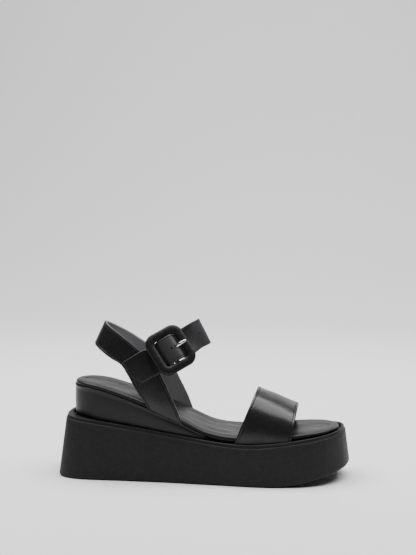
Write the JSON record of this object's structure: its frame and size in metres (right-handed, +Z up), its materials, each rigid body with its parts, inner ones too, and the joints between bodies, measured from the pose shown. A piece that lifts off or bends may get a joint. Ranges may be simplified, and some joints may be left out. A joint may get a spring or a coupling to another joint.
{
  "type": "wedge sandal",
  "caption": "Open sandal on a thick flared platform with an inset wedge heel, a padded footbed, one wide toe strap and a heel sling closed by a buckled ankle strap.",
  "frame": {"origin": "centre of the sandal's footprint, on the floor", "axes": "+X towards the toe, +Z up, so +Y is the inner (medial) side of this right-foot sandal and the buckle is on -Y"},
  "size_m": [0.2664, 0.0988, 0.1428],
  "materials": {
    "sole": "matte",
    "wedge_foam": "matte",
    "wedge_leather": "satin",
    "board": "matte",
    "padding": "matte",
    "footbed_leather": "satin",
    "strap_leather": "satin",
    "lining_leather": "satin",
    "frame_steel": "satin",
    "buckle_leather": "satin",
    "bright_steel": "polished"
  },
  "bodies": {
    "sandal": {"platform": "sole", "wedge_core": "wedge_foam", "wedge_cover": "wedge_leather", "insole_board": "board", "footbed_foam": "padding", "footbed_cover": "footbed_leather", "vamp_outer": "strap_leather", "vamp_lining": "lining_leather", "sling_outer": "strap_leather", "sling_lining": "lining_leather", "ankle_strap_outer": "strap_leather", "ankle_strap_lining": "lining_leather", "chape": "strap_leather"},
    "buckle": {"buckle_core": "frame_steel", "buckle_wrap": "buckle_leather", "buckle_bar": "bright_steel"},
    "tongue": {"buckle_tongue": "bright_steel"}
  },
  "joints": [
    {"name": "buckle_swing", "type": "hinge", "parent": "sandal", "child": "buckle", "pos_m": [-0.02671, -0.02636, 0.11638], "axis": [0.5576, -0.2702, -0.7849], "range_deg": [-3, 3]},
    {"name": "tongue_pivot", "type": "hinge", "parent": "buckle", "child": "tongue", "pos_m": [-0.02671, -0.02636, 0.11638], "axis": [0.5576, -0.2702, -0.7849], "range_deg": [0, 8]}
  ]
}
